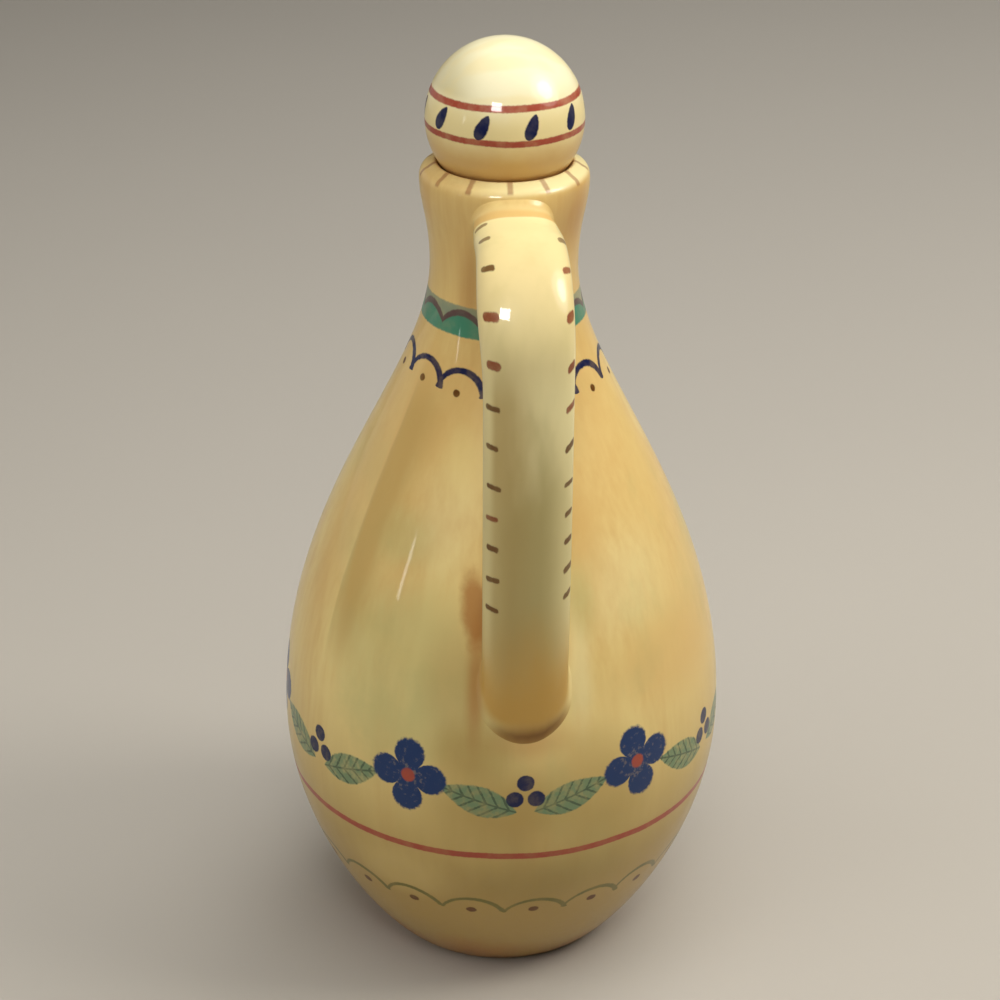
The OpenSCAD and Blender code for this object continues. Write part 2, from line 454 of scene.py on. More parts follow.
def curve_through(tree, points, steps):
    """A profile curve from four points given as (radius, height): its start, its two handles and its end."""
    places = [joined(tree, radius - TURNING_RADIUS, -1 * height, 0.0) for radius, height in points]
    names = ("Start", "Start Handle", "End Handle", "End")
    return Field(add_node(
        tree, "GeometryNodeCurvePrimitiveBezierSegment", {"Resolution": steps, **dict(zip(names, places))}
    ).outputs[0])


def straight(tree, start, end, steps=1):
    """A straight stretch of a profile."""
    return curve_through(tree, (start, start, end, end), steps)


def quarter(tree, start, corner, end, steps):
    """A quarter round of a profile from start to end, whose tangents meet at corner."""
    def towards(a, b):
        """A handle on the way from a to b."""
        return tuple(p + (q - p) * QUARTER_ROUND for p, q in zip(a, b))
    return curve_through(tree, (start, towards(start, corner), towards(end, corner), end), steps)


def polyline(tree, points):
    """Straight stretches through points, in order."""
    return [straight(tree, a, b) for a, b in zip(points, points[1:])]


def gathered(tree, *parts):
    """Several geometries as one."""
    node = tree.nodes.new("GeometryNodeJoinGeometry")
    for part in parts:
        put(node.inputs[0], part)
    return Field(node.outputs[0])


def turned(tree, profile, segments):
    """Turns profile curves round the axis. They run up the outside, so faces are flipped to point out."""
    circle = add_node(
        tree, "GeometryNodeCurvePrimitiveCircle", {"Resolution": segments, "Radius": TURNING_RADIUS}
    )
    swept = add_node(
        tree, "GeometryNodeCurveToMesh",
        {"Curve": Field(circle.outputs[0]), "Profile Curve": gathered(tree, *profile)}
    )
    return Field(add_node(tree, "GeometryNodeFlipFaces", {"Mesh": Field(swept.outputs[0])}).outputs[0])


def marked(tree, geometry, name, value, kind="FLOAT"):
    """Stores a value on the points of a mesh under a name that a material can read."""
    return Field(add_node(
        tree, "GeometryNodeStoreNamedAttribute", {"Geometry": geometry, "Name": name, "Value": value},
        data_type=kind, domain="POINT"
    ).outputs[0])


def hollow(tree, outside, inside, segments):
    """A turned outside and inside as one skin, told apart by a value of 1 or 0 named outside."""
    skins = [turned(tree, profile, segments) for profile in (outside, inside)]
    return gathered(tree, *(marked(tree, skin, "outside", value) for skin, value in zip(skins, (1.0, 0.0))))


def outer_profile(s, ground):
    """The bottle's outside from the foot to the side of the lip, as three curves of four points each.

    A point is a radius and a height. The sizes are numbers or fields, and ground is 0 in the same form.
    """
    belly, neck, lip = s.belly_radius, s.neck_radius, s.lip_radius
    return (
        ((s.foot_radius, ground), (s.foot_radius + s.flare_out, s.flare_up),
         (belly, s.belly_height - s.belly_low), (belly, s.belly_height)),
        ((belly, s.belly_height), (belly, s.belly_height + s.belly_high),
         (neck, s.neck_height - s.neck_low), (neck, s.neck_height)),
        ((neck, s.neck_height), (neck, s.neck_height + s.neck_high),
         (lip, s.lip_side - s.lip_low), (lip, s.lip_side)),
    )


def bottle_tree(settings, finish):
    """The bottle: outside from the foot ring over the lip, then the bore, the inside and the floor."""
    tree, s = new_tree("Cruet bottle", settings)
    zero = s.foot_radius * 0
    ring_in = s.foot_radius - s.ring_width
    edge, edge_height = s.lip_radius - s.lip_edge, s.lip_height - s.lip_fall
    outside = [
        *polyline(tree, [
            (zero, s.recess), (ring_in - s.recess, s.recess), (ring_in, zero), (s.foot_radius, zero)]),
        *(curve_through(tree, points, steps) for points, steps in zip(outer_profile(s, zero), (48, 64, 24))),
        curve_through(tree, (
            (s.lip_radius, s.lip_side),
            (s.lip_radius, s.lip_side + s.lip_edge),
            (edge + s.lip_edge * 0.7, edge_height - s.lip_fall * 0.45),
            (edge, edge_height)), 12),
        curve_through(tree, (
            (edge, edge_height),
            (edge - s.lip_edge * 0.5, edge_height + s.lip_fall * 0.33),
            (s.lip_seat + s.lip_edge * 0.45, s.lip_height - s.lip_fall * 0.06),
            (s.lip_seat, s.lip_height)), 10),
        curve_through(tree, (
            (s.lip_seat, s.lip_height),
            (s.lip_seat - s.lip_edge * 0.45, s.lip_height + s.lip_fall * 0.06),
            (s.bore_radius, s.lip_side + s.lip_edge * 0.8),
            (s.bore_radius, s.lip_side)), 12),
    ]
    bore_low = s.neck_height - s.wall * 2
    inner_belly = s.belly_radius - s.wall
    inner_foot = s.foot_radius + s.flare_out * 0.8
    inside = [
        straight(tree, (s.bore_radius, s.lip_side), (s.bore_radius, bore_low)),
        curve_through(tree, (
            (s.bore_radius, bore_low),
            (s.bore_radius, bore_low - s.neck_low * 0.85),
            (inner_belly, s.belly_height + s.belly_high * 0.93),
            (inner_belly, s.belly_height)), 32),
        curve_through(tree, (
            (inner_belly, s.belly_height),
            (inner_belly, s.belly_height - s.belly_low * 0.93),
            (inner_foot + s.wall * 1.5, s.floor_top + s.wall),
            (inner_foot, s.floor_top)), 24),
        straight(tree, (inner_foot, s.floor_top), (zero, s.floor_top)),
    ]
    end_tree(tree, hollow(tree, outside, inside, s.segments), finish)
    return tree


def knob_tree(settings, finish):
    """The stopper: ball, collar, peg and flange outside, then the bore up the peg and the hollow ball."""
    tree, s = new_tree("Cruet stopper knob", settings)
    zero = s.ball_radius * 0
    middle = s.ball_top - s.ball_radius
    collar = s.peg_radius + s.peg_step
    inner = s.ball_radius - s.ball_wall
    # Where the collar leaves the ball and where the bore enters the hollow
    collar_top = middle - root(squared(s.ball_radius) - squared(collar))
    bore_top = middle - root(squared(inner) - squared(s.peg_bore))

    def arc(start_radius, start_height, end_radius, end_height, steps):
        """Part of a round about the middle of the ball, below its widest place, from point to point."""
        turn = operate("ARCTAN2", end_radius, middle - end_height) - operate(
            "ARCTAN2", start_radius, middle - start_height)
        handle = operate("TANGENT", turn * 0.25) * (4 / 3)
        return curve_through(tree, (
            (start_radius, start_height),
            (start_radius + handle * (middle - start_height), start_height + handle * start_radius),
            (end_radius - handle * (middle - end_height), end_height - handle * end_radius),
            (end_radius, end_height)), steps)

    flange_top = s.peg_end + s.flange
    outside = [
        *polyline(tree, [
            (s.peg_bore, s.peg_end), (collar, s.peg_end), (collar, flange_top), (s.peg_radius, flange_top),
            (s.peg_radius, s.sleeve_high), (collar, s.sleeve_high), (collar, collar_top)]),
        arc(collar, collar_top, s.ball_radius, middle, 24),
        quarter(tree, (s.ball_radius, middle), (s.ball_radius, s.ball_top), (zero, s.ball_top), 40),
    ]
    inside = [
        quarter(tree, (zero, middle + inner), (inner, middle + inner), (inner, middle), 16),
        arc(inner, middle, s.peg_bore, bore_top, 16),
        straight(tree, (s.peg_bore, bore_top), (s.peg_bore, s.peg_end)),
    ]
    end_tree(tree, hollow(tree, outside, inside, s.segments), finish)
    return tree


def sleeve_tree(settings, finish):
    """The soft sleeve: a tube on the peg with three tapered fins."""
    tree, s = new_tree("Cruet stopper sleeve", settings)
    tube = s.peg_radius + s.sleeve_wall
    points = [(s.peg_radius, s.sleeve_low), (tube, s.sleeve_low)]
    for share in (1 / 6, 3 / 6, 5 / 6):
        middle = s.sleeve_low + (s.sleeve_high - s.sleeve_low) * share
        points += [
            (tube, middle - s.fin_base * 0.5),
            (s.fin_radius, middle - s.fin_edge * 0.5),
            (s.fin_radius, middle + s.fin_edge * 0.5),
            (tube, middle + s.fin_base * 0.5),
        ]
    points += [(tube, s.sleeve_high), (s.peg_radius, s.sleeve_high), (s.peg_radius, s.sleeve_low)]
    end_tree(tree, turned(tree, polyline(tree, points), s.segments), finish)
    return tree


# Geometry Nodes: the strap along its path

# Roundness of the strap's section, and how much it thins at its lower end
FACE_POWER = 2.3
END_THINNING = 0.2
# How far the section closes at the very tip
TIP_CLOSING = 0.9986
# How far below the neck's surface the strap starts
ROOT_SINK = 1.5 * MM
# The strap was pressed a little wider on its left below the corner: place along it, reach, softness, width
PRESS_PLACE, PRESS_REACH, PRESS_SOFTNESS, PRESS_WIDTH = 29 * MM, 8 * MM, 9 * MM, 0.9 * MM
# Share of a quarter round that a fillet keeps, so that it meets the wall at a slight angle
FILLET_ARC = 0.92
# Slope of a fillet where it meets the wall, kept on below it
FILLET_SLOPE = FILLET_ARC ** 2 / math.sqrt(1 - FILLET_ARC ** 2)
# Halvings in the search for a height on the bottle
HALVINGS = 40


def outer_radius(height):
    """Radius of the bottle's outside at a height."""
    def point(curve, t):
        """Place on a curve at a share t of its run."""
        shares = ((1 - t) ** 3, 3 * (1 - t) ** 2 * t, 3 * (1 - t) * t * t, t ** 3)
        return [sum(share * p[axis] for share, p in zip(shares, curve)) for axis in (0, 1)]

    for curve in outer_profile(bpy.context.scene.cruet.bottle, 0):
        if curve[0][1] <= height <= curve[3][1]:
            low, high = 0.0, 1.0
            for _ in range(HALVINGS):
                middle = (low + high) / 2
                if point(curve, middle)[1] < height:
                    low = middle
                else:
                    high = middle
            return point(curve, low)[0]
    raise ValueError(f"height {height} is not on the bottle")


def strap_path(sizes):
    """Middle line of the strap as a curve object: out of the neck, round the corner, down to the belly."""
    heel_radius = outer_radius(sizes.heel_height) - sizes.heel_depth
    corner_handle = sizes.corner * QUARTER_ROUND
    bend_out = sizes.reach - sizes.corner
    bend_low = sizes.root_height - sizes.corner
    level = sizes.root_height
    start = outer_radius(level) - ROOT_SINK - sizes.lead
    third = (bend_out - start) / 3
    down = Vector((heel_radius - sizes.reach, -sizes.ease)).normalized()

    def heel(share):
        """A place on the straight run at the lower end."""
        run = sizes.heel_length * share
        return heel_radius + down.x * run, sizes.heel_height + down.y * run

    # Each row: place, handle before it, handle after it, as (distance from the axis, height)
    rows = [
        ((start, level), (start - third, level), (start + third, level)),
        ((bend_out, level), (bend_out - third, level), (bend_out + corner_handle, level)),
        ((sizes.reach, bend_low), (sizes.reach, bend_low + corner_handle),
         (sizes.reach, bend_low - sizes.hold)),
        (heel(0), (sizes.reach, sizes.heel_height + sizes.ease), heel(1 / 3)),
        (heel(1), heel(2 / 3), heel(1)),
    ]
    line = bpy.data.curves.new("strap_path", "CURVE")
    line.dimensions = "3D"
    line.resolution_u = 64
    spline = line.splines.new("BEZIER")
    spline.bezier_points.add(len(rows) - 1)
    for point, row in zip(spline.bezier_points, rows):
        point.handle_left_type = point.handle_right_type = "FREE"
        point.co, point.handle_left, point.handle_right = [(0, -out, height) for out, height in row]
    path = bpy.data.objects.new("strap_path", line)
    bpy.context.scene.collection.objects.link(path)
    return path


def captured(tree, geometry, *items):
    """Captures values, each given with its kind, on the points of a geometry. Returns it and their fields."""
    node = tree.nodes.new("GeometryNodeCaptureAttribute")
    for index, (kind, _) in enumerate(items):
        node.capture_items.new(kind, f"Value {index}")
    put(node.inputs["Geometry"], geometry)
    for index, (_, value) in enumerate(items):
        put(node.inputs[f"Value {index}"], value)
    return [Field(node.outputs["Geometry"])] + [Field(node.outputs[f"Value {i}"]) for i in range(len(items))]


def strap_tree(settings, finish):
    """The strap: an oval with flattened faces swept along its path and run out in fillets onto the bottle."""
    tree, s, path, bottle = new_tree("Cruet strap handle", settings, ("Path", "Bottle"))

    def read(kind, output=0, **options):
        """A value that a node reads from the geometry."""
        return Field(add_node(tree, kind, **options).outputs[output])

    # Stations along the path, each with its place, direction, distance from the start and the whole length
    line = add_node(tree, "GeometryNodeResampleCurve", {"Curve": path, "Count": s.stations}, mode="COUNT")
    line_out, place, along, gone, total = captured(
        tree, Field(line.outputs[0]),
        ("VECTOR", read("GeometryNodeInputPosition")),
        ("VECTOR", read("GeometryNodeInputTangent")),
        ("FLOAT", read("GeometryNodeSplineParameter", "Length")),
        ("FLOAT", read("GeometryNodeSplineLength", "Length")),
    )
    gone, total = gone - s.lead, total - s.lead
    ring = add_node(
        tree, "GeometryNodeCurvePrimitiveCircle", {"Resolution": s.ring_points, "Radius": 1 * MM})
    ring_out, share = captured(
        tree, Field(ring.outputs[0]), ("FLOAT", read("GeometryNodeSplineParameter", "Factor")))
    swept = add_node(
        tree, "GeometryNodeCurveToMesh", {"Curve": line_out, "Profile Curve": ring_out, "Fill Caps": True}
    )

    # Section at each station: full width from the corner on, closing in half an ellipse at the lower end
    side = (1.0, 0.0, 0.0)
    across = vector_operate("CROSS_PRODUCT", along, side)
    run = s.reach - s.corner - s.strap_width
    widening = least(most(gone, 0) / run, 1)
    closing = least(most(1 - (total - gone) / s.heel_length, 0), TIP_CLOSING)
    opening = 1 - squared(closing)
    half_width = (s.root_width + (s.strap_width - s.root_width) * widening) * root(opening) * 0.5
    half_thickness = s.strap_thickness * power(opening, END_THINNING / 2) * 0.5
    turn = share * math.tau
    cosine, sine = operate("COSINE", turn), operate("SINE", turn)
    cosine_part, sine_part = power(abs(cosine), FACE_POWER), power(abs(sine), FACE_POWER)
    flat = power(cosine_part + sine_part, -1 / FACE_POWER)
    sideways, outward = flat * cosine, flat * sine
    pressed = near(abs(gone - PRESS_PLACE), PRESS_REACH, PRESS_SOFTNESS) * most(-sideways, 0) * PRESS_WIDTH
    skin = vector_sum(
        place,
        scaled(across, half_thickness * outward),
        joined(tree, half_width * sideways - pressed, 0.0, 0.0),
    )

    def gradient(value, half):
        """Slope of the section's outline along one of its axes."""
        return operate("SIGN", value) * power(abs(value), FACE_POWER - 1) / half

    # Direction square to the strap's surface
    end_slope = closing / (opening * s.heel_length)
    end_part = power(abs(sideways), FACE_POWER) + power(abs(outward), FACE_POWER) * END_THINNING
    facing = vector_operate("NORMALIZE", vector_sum(
        joined(tree, gradient(sideways, half_width), 0.0, 0.0),
        scaled(across, gradient(outward, half_thickness)),
        scaled(along, end_slope * end_part),
    ))

    # The bottle's outside
    outside = read("GeometryNodeInputNamedAttribute", inputs={"Name": "outside"}, data_type="FLOAT")
    wall = Field(add_node(
        tree, "GeometryNodeSeparateGeometry", {"Geometry": bottle, "Selection": outside}, domain="FACE"
    ).outputs["Selection"])
    normal = read("GeometryNodeInputNormal")

    def over_wall(point):
        """Direction square to the bottle's outside next to a point, and the point's height over it."""
        closest = add_node(
            tree, "GeometryNodeProximity", {"Geometry": wall, "Sample Position": point},
            target_element="FACES")
        square = add_node(
            tree, "GeometryNodeSampleNearestSurface",
            {"Mesh": wall, "Value": normal, "Sample Position": point}, data_type="FLOAT_VECTOR")
        square = vector_operate("NORMALIZE", Field(square.outputs["Value"]))
        offset = vector_operate("SUBTRACT", point, Field(closest.outputs["Position"]))
        return square, vector_operate("DOT_PRODUCT", offset, square, output="Value")

    wall_facing, height = over_wall(skin)

    # Fillets: low skin runs out sideways over the wall in a round, and the crotch under the strap is filled
    lower = ramp(gone / total, 0.35, 0.65)
    fillet = s.root_fillet + (s.top_fillet - s.root_fillet) * ramp(outward, 0.3, 1)
    fillet = fillet + (s.crotch_fillet - s.root_fillet) * ramp(-outward, 0.3, 1)
    fillet = fillet + (s.heel_fillet - fillet) * lower
    low = least(most(height, 0), fillet)
    buried = least(most(-height, 0), s.lap)
    spread = (1 - root(1 - squared((1 - low / fillet) * FILLET_ARC))) * fillet + buried * FILLET_SLOPE
    lean = vector_operate("DOT_PRODUCT", facing, wall_facing, output="Value")
    sliding = vector_operate("SUBTRACT", facing, scaled(wall_facing, lean))
    filled = squared(low) * (2 * fillet - low) / squared(fillet) - low
    slid = vector_sum(skin, scaled(sliding, spread))
    end_facing, end_height = over_wall(slid)
    wanted = most(height, -1 * s.lap) + filled * most(-lean, 0)
    settled = vector_sum(slid, scaled(end_facing, wanted - end_height))
    placed = add_node(
        tree, "GeometryNodeSetPosition", {"Geometry": Field(swept.outputs[0]), "Position": settled})
    paint_place = joined(tree, gone, outward, height)
    stored = marked(tree, Field(placed.outputs[0]), "strap_place", paint_place, "FLOAT_VECTOR")
    end_tree(tree, stored, finish)
    return tree


# Materials: glaze grounds and painted motifs

# Heights and radii in millimetres where a finish changes: bare clay under the foot and inside of its ring,
# rim of the lip and ring on which the ball sits, lower end of the ball and top of the bare peg
FOOT_BARE, FOOT_RING = 0.6, 20
LIP_RIM, SEAT_RADIUS = 173, 13.7
BALL_BASE, PEG_TOP = 176, 169.5
# Keeps the random numbers of different seeds apart
SEED_STEP = 7.31


def new_finish(name):
    """A material with one Principled shader. Returns the material, its tree and the shader."""
    finish = bpy.data.materials.new(name)
    finish.use_nodes = True
    tree = finish.node_tree
    tree.nodes.clear()
    shader = tree.nodes.new("ShaderNodeBsdfPrincipled")
    output = tree.nodes.new("ShaderNodeOutputMaterial")
    tree.links.new(shader.outputs["BSDF"], output.inputs["Surface"])
    return finish, tree, shader


def object_point(tree):
    """Place on the piece, in its own coordinates."""
    return Field(tree.nodes.new("ShaderNodeTexCoord").outputs["Object"])


def noise(vector, scale, detail=2.0, roughness=0.5):
    """Smooth noise from 0 to 1."""
    return Field(add_node(
        vector.tree, "ShaderNodeTexNoise",
        {"Vector": vector, "Scale": scale, "Detail": detail, "Roughness": roughness}
    ).outputs[0])


def chance(index, seed):
    """A fixed random number from 0 to 1 for a whole number."""
    place = index + seed * SEED_STEP
    node = add_node(index.tree, "ShaderNodeTexWhiteNoise", {"W": place}, noise_dimensions="1D")
    return Field(node.outputs["Value"])


def sway(index, seed, size):
    """A fixed random number for a whole number, within half of size to either side of 0."""
    return (chance(index, seed) - 0.5) * size


def stretched(vector, x=1.0, y=1.0, z=1.0):
    """A place to take noise from. A factor below 1 draws the noise out along that axis."""
    return vector_operate("MULTIPLY", vector, (x, y, z))


def blended(factor, below, above):
    """Colour above laid over colour below by a factor."""
    node = add_node(factor.tree, "ShaderNodeMix", data_type="RGBA")
    put(node.inputs["Factor"], factor)
    for socket, value in zip([i for i in node.inputs if i.type == "RGBA"], (below, above)):
        put(socket, value if isinstance(value, Field) else (*value, 1.0))
    return Field(next(o for o in node.outputs if o.type == "RGBA"))


class PotSurface:
    """Where a point lies on a round pot: lengths in millimetres, and part of a turn from the handle."""

    def __init__(self, tree):
        self.tree = tree
        self.point = object_point(tree)
        x, y, z = split(self.point)
        self.across = x * PER_METRE
        self.height = z * PER_METRE
        self.radius = root(squared(x) + squared(y)) * PER_METRE
        self.turn = operate("ARCTAN2", x, -1 * y) / math.tau
        # Unsteadiness of the hand: slow drift of a stroke, and the rough edge of wet paint
        self.drift = noise(self.point, 70, 1) - 0.5
        self.rough = noise(self.point, 1500, 2) - 0.5

    def aside(self, degrees):
        """Millimetres round the pot from a place given as a turn from the handle."""
        return operate("WRAP", self.turn - degrees / 360, 0.5, -0.5) * self.radius * math.tau

    def cell(self, count, offset=0.0):
        """Equal cells round the pot: millimetres from the middle of a cell, their pitch, and its number."""
        steps = self.turn * count - offset
        number = operate("FLOOR", steps + 0.5)
        pitch = self.radius * (math.tau / count)
        return (steps - number) * pitch, pitch, operate("WRAP", number, count, 0)

    def pigment(self, scale=260, least_share=0.84):
        """How thick the paint lies."""
        return least_share + (1 - least_share) * ramp(noise(self.point, scale, 3, 0.6), 0.3, 0.62)


class Painting:
    """Colour of one piece, laid on in layers under the glaze."""

    def __init__(self, surface, ground):
        self.surface = surface
        self.colour = ground

    def lay(self, colour, mask):
        """Lays paint where mask is 1."""
        self.colour = blended(mask, self.colour, colour)

    def line(self, colour, height, width, drift=0.8):
        """A painted line round the pot."""
        s = self.surface
        away = abs(s.height - height + s.drift * drift) + s.rough * 0.25
        self.lay(colour, near(away, width / 2, 0.16) * s.pigment())

    def scallops(self, colour, count, offset, foot, half_width, rise, cut, stroke, jitter=0.5, lean=0.0):
        """Arcs in a row that cross at their feet, cut off above their springing. The row may lean."""
        s = self.surface
        x, pitch, number = s.cell(count, offset)
        y = s.height - foot + s.drift * jitter + s.across * lean
        nearest = None
        for side in (-1, 0, 1):
            swing = chance(number + side, 1) - 0.5
            u = (x - pitch * side + swing * jitter) / half_width
            v = (y + u * swing * jitter) / (rise + swing * jitter)
            size = root(squared(u) + squared(v))
            slope = root(squared(u / half_width) + squared(v / rise)) + 0.001
            away = abs(size - 1) * size / slope - u * 0.12
            away = away + ramp(cut + swing * jitter - y, -0.1, 0.4) * 2
            nearest = away if nearest is None else least(nearest, away)
        self.lay(colour, near(nearest + s.rough * 0.3, stroke / 2, 0.16) * s.pigment())

    def dots(self, colour, count, offset, height, half_width, half_height, jitter=0.6, lean=0.0):
        """A row of dots, which may lean sideways."""
        s = self.surface
        x, _, number = s.cell(count, offset)
        u = x + sway(number, 2, jitter)
        v = s.height - height + sway(number, 3, jitter) + s.across * lean
        away = root(squared(u / half_width) + squared(v / half_height)) + s.rough * 0.3
        self.lay(colour, near(away, 1, 0.2) * s.pigment())

    def dashes(self, colour, count, offset, height, half_width, half_height, lean):
        """Egg-shaped dashes that lean to the right at the top."""
        s = self.surface
        x, _, number = s.cell(count, offset)
        tilt = lean + sway(number, 4, 0.12)
        sine, cosine = operate("SINE", tilt), operate("COSINE", tilt)
        v = s.height - height + sway(number, 5, 0.6)
        wide = x * cosine - v * sine
        tall = (x * sine + v * cosine) / half_height
        waist = root(1 - squared(tall)) * (1 - 0.25 * tall) * half_width
        mask = ramp(waist - abs(wide) + s.rough * 0.3, -0.05, 0.3) * near(abs(tall), 1, 0.05)
        self.lay(colour, mask * s.pigment(260, 0.95))


# Broad brush washes on the handle side, among them painted shade round the strap and a painted reflection
# beside it,
# in the order in which they are laid: turn from the handle in degrees, height, half width and half height in
# millimetres, softness of the edge, colour and strength
WASHES = (
    (-56, 112, 3.4, 32, 0.3, "ochre", 0.75),
    (-72, 108, 6, 30, 0.6, "ochre", 0.55),
    (-36, 129, 9, 9, 0.6, "ochre", 0.55),
    (-23, 121, 4.5, 7, 0.7, "pale", 0.6),
    (-41, 106, 6.5, 5, 0.6, "wash", 0.4),
    (-36, 83, 17, 13, 0.5, "wash", 0.42),
    (23, 107, 3.5, 8, 0.6, "ochre", 0.6),
    (34, 96, 14, 9, 0.7, "cream", 0.35),
    # A pale streak beside the strap: cream glaze, partly a painted reflection
    (15, 85, 2.4, 11, 0.9, "cream", 0.65),
    (18, 96, 3, 6, 0.8, "wash", 0.5),
    (46, 79, 15, 8, 0.7, "ochre", 0.6),
    (-18, 80, 6, 10, 0.7, "amber", 0.22),
    # Painted shade under the tip of the strap
    (-1, 69, 8, 3.2, 0.7, "amber", 0.4),
    # Painted shade down the join on the left of the strap's lower end
    (-13, 80, 1.6, 12, 0.8, "amber", 0.6),
    # Pooled glaze and painted shade in the crotch left of the strap's root
    (-34, 153, 2.2, 8, 0.8, "amber", 0.4),
    # Darker on the right of the neck by the strap's root
    (51, 167, 4.5, 7, 0.8, "amber", 0.45),
    (-26, 110, 6, 8, 0.8, "cream", 0.3),
    (17, 64, 7, 6, 0.7, "deep", 0.35),
    (-35, 33, 10, 6, 0.6, "pale", 0.3),
    (66, 84, 12, 22, 0.8, "ochre", 0.45),
    (8, 34, 18, 6, 0.8, "olive", 0.2),
    # The last three rows are painted shade below the strap's lower end and on the lower front of the belly
    (-14, 66, 7, 6, 0.7, "deep", 0.7),
    (-6, 54, 13, 9, 0.7, "deep", 0.75),
    (19, 53, 9, 8, 0.7, "deep", 0.5),
)


def glaze_ground(surface, colours):
    """Washed yellow glaze of the bottle: pale on the belly, ochre towards the neck, amber where it pools, and
    painted shade low down and round the strap.
    """
    s = surface
    strokes = noise(stretched(s.point, z=0.12), 46, 1, 0.4)
    streaks = noise(stretched(s.point, z=0.13), 120, 3, 0.55)
    clouds = noise(s.point, 34, 2, 0.5)
    hairs = noise(stretched(s.point, z=0.05), 520, 2, 0.6)
    mottle = noise(s.point, 330, 3, 0.6)
    unrest = (clouds - 0.5) * 1.3 + (streaks - 0.5) * 0.5 + (mottle - 0.5) * 0.15 + (hairs - 0.5) * 0.5
    warm = ramp(s.height, 60, 140) * 0.4 + 0.14 + unrest * 0.55
    # Neighbouring brush strokes differ a little
    warm = warm + ramp(strokes, 0.48, 0.53) * 0.2 + (hairs - 0.5) * ramp(clouds, 0.4, 0.6) * 0.4
    ground = blended(ramp(warm, 0, 1), colours.pale, colours.ochre)
    patch = noise(s.point, 27, 2, 0.5) + (streaks - 0.5) * 0.3 + (mottle - 0.5) * 0.08
    green = ramp(patch, 0.52, 0.68) * near(s.height, 125, 30) * 0.45
    ground = blended(green, ground, colours.wash)
    # Darker glaze low on the belly, partly painted shade where the lower belly faces down
    low = near(s.height + (streaks - 0.5) * 14 + (clouds - 0.5) * 16, 50, 26) * 0.95
    ground = blended(low, ground, colours.deep)
    for turn, height, wide, tall, softness, name, strength in WASHES:
        aside = s.aside(turn)
        away = root(squared(aside / wide) + squared((s.height - height) / tall)) + unrest * 0.5
        ground = blended(near(away, 1, softness) * strength, ground, getattr(colours, name))
    # A broad stroke with a clear left edge runs down the left shoulder
    aside = s.aside(-62)
    stroke = ramp(aside + (streaks - 0.5) * 1.2, -0.4, 0.4) * near(aside, 8.5, 4)
    ground = blended(stroke * near(abs(s.height - 107), 25, 7) * 0.4, ground, colours.deep)
    # The lip's top is cream, strongly on the right and faintly on the left: its own glaze, with painted light
    # on the right and painted shade on the left
    rim = ramp(s.height + (streaks - 0.5), LIP_RIM, LIP_RIM + 1.4) * (0.1 + 0.85 * ramp(s.across, -13, 4))
    ground = blended(rim, ground, colours.cream)
    # Glaze pools at the foot, and a brown dab sits to the left of the lower end of the strap
    foot = near(s.height + (clouds - 0.5) * 26 + (mottle - 0.5) * 5, 6, 7) * 0.75
    dab = root(squared((s.across + 9.4) / 2.9) + squared((s.height - 95) / 7.8)) + (mottle - 0.5) * 0.6
    pools = most(foot, near(dab, 0.85, 0.35) * near(abs(s.turn), 0.12, 0.06) * 0.75)
    return blended(pools, ground, colours.amber)


def finish_glaze(shader, surface, colour):
    """Clear, slightly uneven gloss over a painted ground."""
    put(shader.inputs["Base Color"], colour)
    shader.inputs["IOR"].default_value = 1.5
    shader.inputs["Specular IOR Level"].default_value = 0.12
    shader.inputs["Coat Weight"].default_value = 0.5
    shader.inputs["Coat Roughness"].default_value = 0.05
    shader.inputs["Coat IOR"].default_value = 1.5
    tree = surface.tree
    waves = noise(surface.point, 60, 1)
    skin = noise(surface.point, 700, 2)
    put(shader.inputs["Roughness"], 0.34 + skin * 0.12)
    relief = waves * 0.5 + skin * 0.035
    bump = add_node(tree, "ShaderNodeBump", {"Height": relief, "Strength": 0.25, "Distance": 0.5 * MM})
    put(shader.inputs["Normal"], Field(bump.outputs["Normal"]))
    put(shader.inputs["Coat Normal"], Field(bump.outputs["Normal"]))


def outside_only(tree):
    """1 on the outside of a piece, 0 on its inside."""
    return Field(add_node(tree, "ShaderNodeAttribute", attribute_name="outside").outputs["Fac"])


def bottle_finish(settings):
    """Glaze and painted bands of the bottle."""
    finish, tree, shader = new_finish("bottle_glaze_painted")
    s = PotSurface(tree)
    c = settings.colours
    bands = settings.bands
    work = Painting(s, glaze_ground(s, c))
    paint_foot_border(work, c, bands)
    paint_garland(work, c, bands)
    paint_neck(work, c, bands)
    paint_lip(work, c, bands)
    colour = blended(outside_only(tree), c.pale, work.colour)
    bare = near(s.height, FOOT_BARE, 0.35) * ramp(s.radius, FOOT_RING - 1, FOOT_RING)
    colour = blended(bare, colour, c.bisque)
    finish_glaze(shader, s, colour)
    return finish


def paint_foot_border(work, c, bands):
    """Olive scallops with dots near the foot, and the brick-red line over them."""
    foot = bands.foot_scallop_height / MM
    offset = 0.2
    work.scallops(
        c.olive, bands.foot_scallops, offset, foot - 1.2, half_width=6.6, rise=5.2, cut=1.2, stroke=0.95,
        jitter=0.8)
    work.dots(c.bark, bands.foot_scallops, offset, foot + 0.4, half_width=1.1, half_height=0.85)
    work.line(c.brick, bands.line_height / MM, width=1.55)


